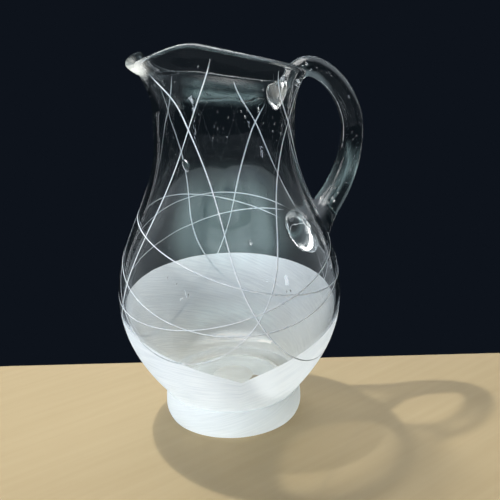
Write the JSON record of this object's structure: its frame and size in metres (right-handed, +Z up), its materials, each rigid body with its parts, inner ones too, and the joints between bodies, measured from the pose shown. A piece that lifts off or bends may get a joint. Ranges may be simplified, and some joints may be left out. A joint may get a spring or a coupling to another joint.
{
  "type": "glass pitcher",
  "caption": "Hand-blown glass pitcher with a round belly, drawn-in neck, waving rim with pulled lip, frosted foot ring and an open rod handle.",
  "frame": {"origin": "centre of the ring that the foot rests on, on the axis of the body, at the table", "axes": "+Z up along the axis of the body, +X towards the handle, so the lip points along -X"},
  "size_m": [0.1924, 0.1438, 0.2379],
  "materials": {
    "clear_glass": "fire-polished",
    "frosted_glass": "sand-blasted",
    "handle_glass": "fire-polished"
  },
  "bodies": {
    "root": {"body": "clear_glass", "foot": "frosted_glass", "handle": "handle_glass"}
  },
  "joints": []
}
